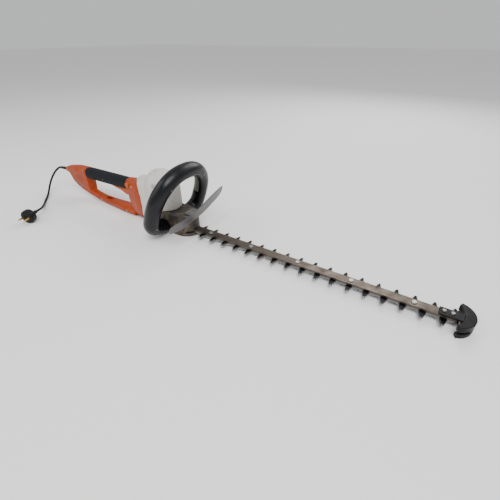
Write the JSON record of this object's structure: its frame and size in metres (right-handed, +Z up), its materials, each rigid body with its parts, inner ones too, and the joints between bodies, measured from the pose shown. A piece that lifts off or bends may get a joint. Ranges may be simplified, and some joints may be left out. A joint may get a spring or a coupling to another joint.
{
  "type": "hedge trimmer",
  "caption": "Corded electric hedge trimmer: orange D-handle that swivels, pale motor housing, black loop handle, smoky hand guard and a long double-sided toothed blade.",
  "frame": {"origin": "centre of the gear case's sole, on the ground", "axes": "+X along the blade to its tip, +Y to the machine's left, +Z up"},
  "size_m": [1.2834, 0.3487, 0.194],
  "materials": {
    "orange_plastic": "satin, worn",
    "trigger_orange": "satin",
    "grip_rubber": "matt soft-touch",
    "loop_black": "satin",
    "housing_white": "moulded, lightly scuffed",
    "gear_case_metal": "worn paint on a casting",
    "rail_steel": "worn",
    "blade_steel": "blackened, ground edges",
    "guard_plastic": "smoky translucent plastic",
    "black_plastic": "moulded",
    "cord_rubber": "matt",
    "bright_steel": "zinc plated",
    "copper": "turned copper",
    "brass": "plain",
    "switch_bar_grey": "moulded"
  },
  "bodies": {
    "machine": {"motor_housing": "housing_white", "gearcase_upper": "gear_case_metal", "gearcase_sole": "gear_case_metal", "case_screw_1": "bright_steel", "case_screw_2": "bright_steel", "case_screw_3": "bright_steel", "case_screw_4": "bright_steel", "loop_front_shell": "loop_black", "loop_rear_shell": "loop_black", "loop_screw_1": "bright_steel", "loop_screw_2": "bright_steel", "loop_screw_3": "bright_steel", "loop_screw_4": "bright_steel", "hand_guard": "guard_plastic", "guard_screw_1": "bright_steel", "guard_screw_2": "bright_steel", "guide_rail": "rail_steel", "blade_bolt_1": "bright_steel", "blade_bolt_2": "bright_steel", "blade_bolt_3": "bright_steel", "blade_bolt_4": "bright_steel", "blade_bolt_5": "bright_steel", "tip_guard": "black_plastic", "tip_screw_1": "bright_steel", "tip_screw_2": "bright_steel", "stator": "bright_steel", "upper_motor_bearing": "bright_steel", "motor_bearing": "bright_steel", "gear_bearing": "bright_steel", "gear_bush": "brass", "motor_end_bracket": "black_plastic", "brush_left": "black_plastic", "brush_right": "black_plastic", "mains_cord": "cord_rubber", "plug_body": "cord_rubber", "plug_pin_1": "brass", "plug_pin_2": "brass"},
    "rear_handle": {"handle_shell_right": "orange_plastic", "handle_shell_left": "orange_plastic", "grip_sleeve": "grip_rubber", "trigger_pin": "bright_steel", "trigger_switch": "black_plastic", "handle_screw_1": "bright_steel", "handle_screw_2": "bright_steel", "handle_screw_3": "bright_steel", "handle_screw_4": "bright_steel", "handle_screw_5": "bright_steel", "strain_relief": "cord_rubber"},
    "trigger_body": {"trigger": "trigger_orange"},
    "lock_button_body": {"lock_button": "trigger_orange"},
    "switch_bar_body": {"loop_switch_bar": "switch_bar_grey"},
    "crank_gear": {"drive_gear": "bright_steel"},
    "rotor": {"rotor_shaft": "bright_steel", "rotor_core": "bright_steel", "commutator": "copper", "cooling_fan": "black_plastic", "pinion": "bright_steel"},
    "upper_blade_body": {"upper_blade": "blade_steel"},
    "lower_blade_body": {"lower_blade": "blade_steel"}
  },
  "joints": [
    {"name": "handle_swivel", "type": "hinge", "parent": "machine", "child": "rear_handle", "pos_m": [-0.112, 0, 0.068], "axis": [1, 0, 0], "range_deg": [-90, 90]},
    {"name": "trigger_pull", "type": "hinge", "parent": "rear_handle", "child": "trigger_body", "pos_m": [-0.305, 0, 0.088], "axis": [0, -1, 0], "range_deg": [0, 7], "stiffness_Nm_per_rad": 1.2, "springref_deg": -6.88},
    {"name": "lock_button_press", "type": "slide", "parent": "rear_handle", "child": "lock_button_body", "axis": [0, 1, 0], "range_m": [0, 0.004], "stiffness_N_per_m": 400, "springref_m": -0.002},
    {"name": "loop_switch_press", "type": "slide", "parent": "machine", "child": "switch_bar_body", "axis": [0.3827, 0, 0.9239], "range_m": [0, 0.004], "stiffness_N_per_m": 600, "springref_m": -0.003},
    {"name": "crank_turn", "type": "hinge", "parent": "machine", "child": "crank_gear", "pos_m": [-0.01, 0, 0.02405], "axis": [0, 0, 1], "range_deg": [0, 180]},
    {"name": "rotor_turn", "type": "hinge", "parent": "machine", "child": "rotor", "pos_m": [-0.0466, 0, 0.02405], "axis": [0, 0, 1], "range_deg": [-820, 1]},
    {"name": "upper_blade_slide", "type": "slide", "parent": "machine", "child": "upper_blade_body", "axis": [1, 0, 0], "range_m": [-0.0001, 0.0181]},
    {"name": "lower_blade_slide", "type": "slide", "parent": "machine", "child": "lower_blade_body", "axis": [1, 0, 0], "range_m": [-0.0181, 0.0001]}
  ],
  "couplings": [
    {"joint": "rotor_turn", "follows": "crank_turn", "ratio": -4.5455},
    {"joint": "upper_blade_slide", "follows": "crank_turn", "m_per_rad": 0.0057296},
    {"joint": "lower_blade_slide", "follows": "crank_turn", "m_per_rad": -0.0057296}
  ]
}
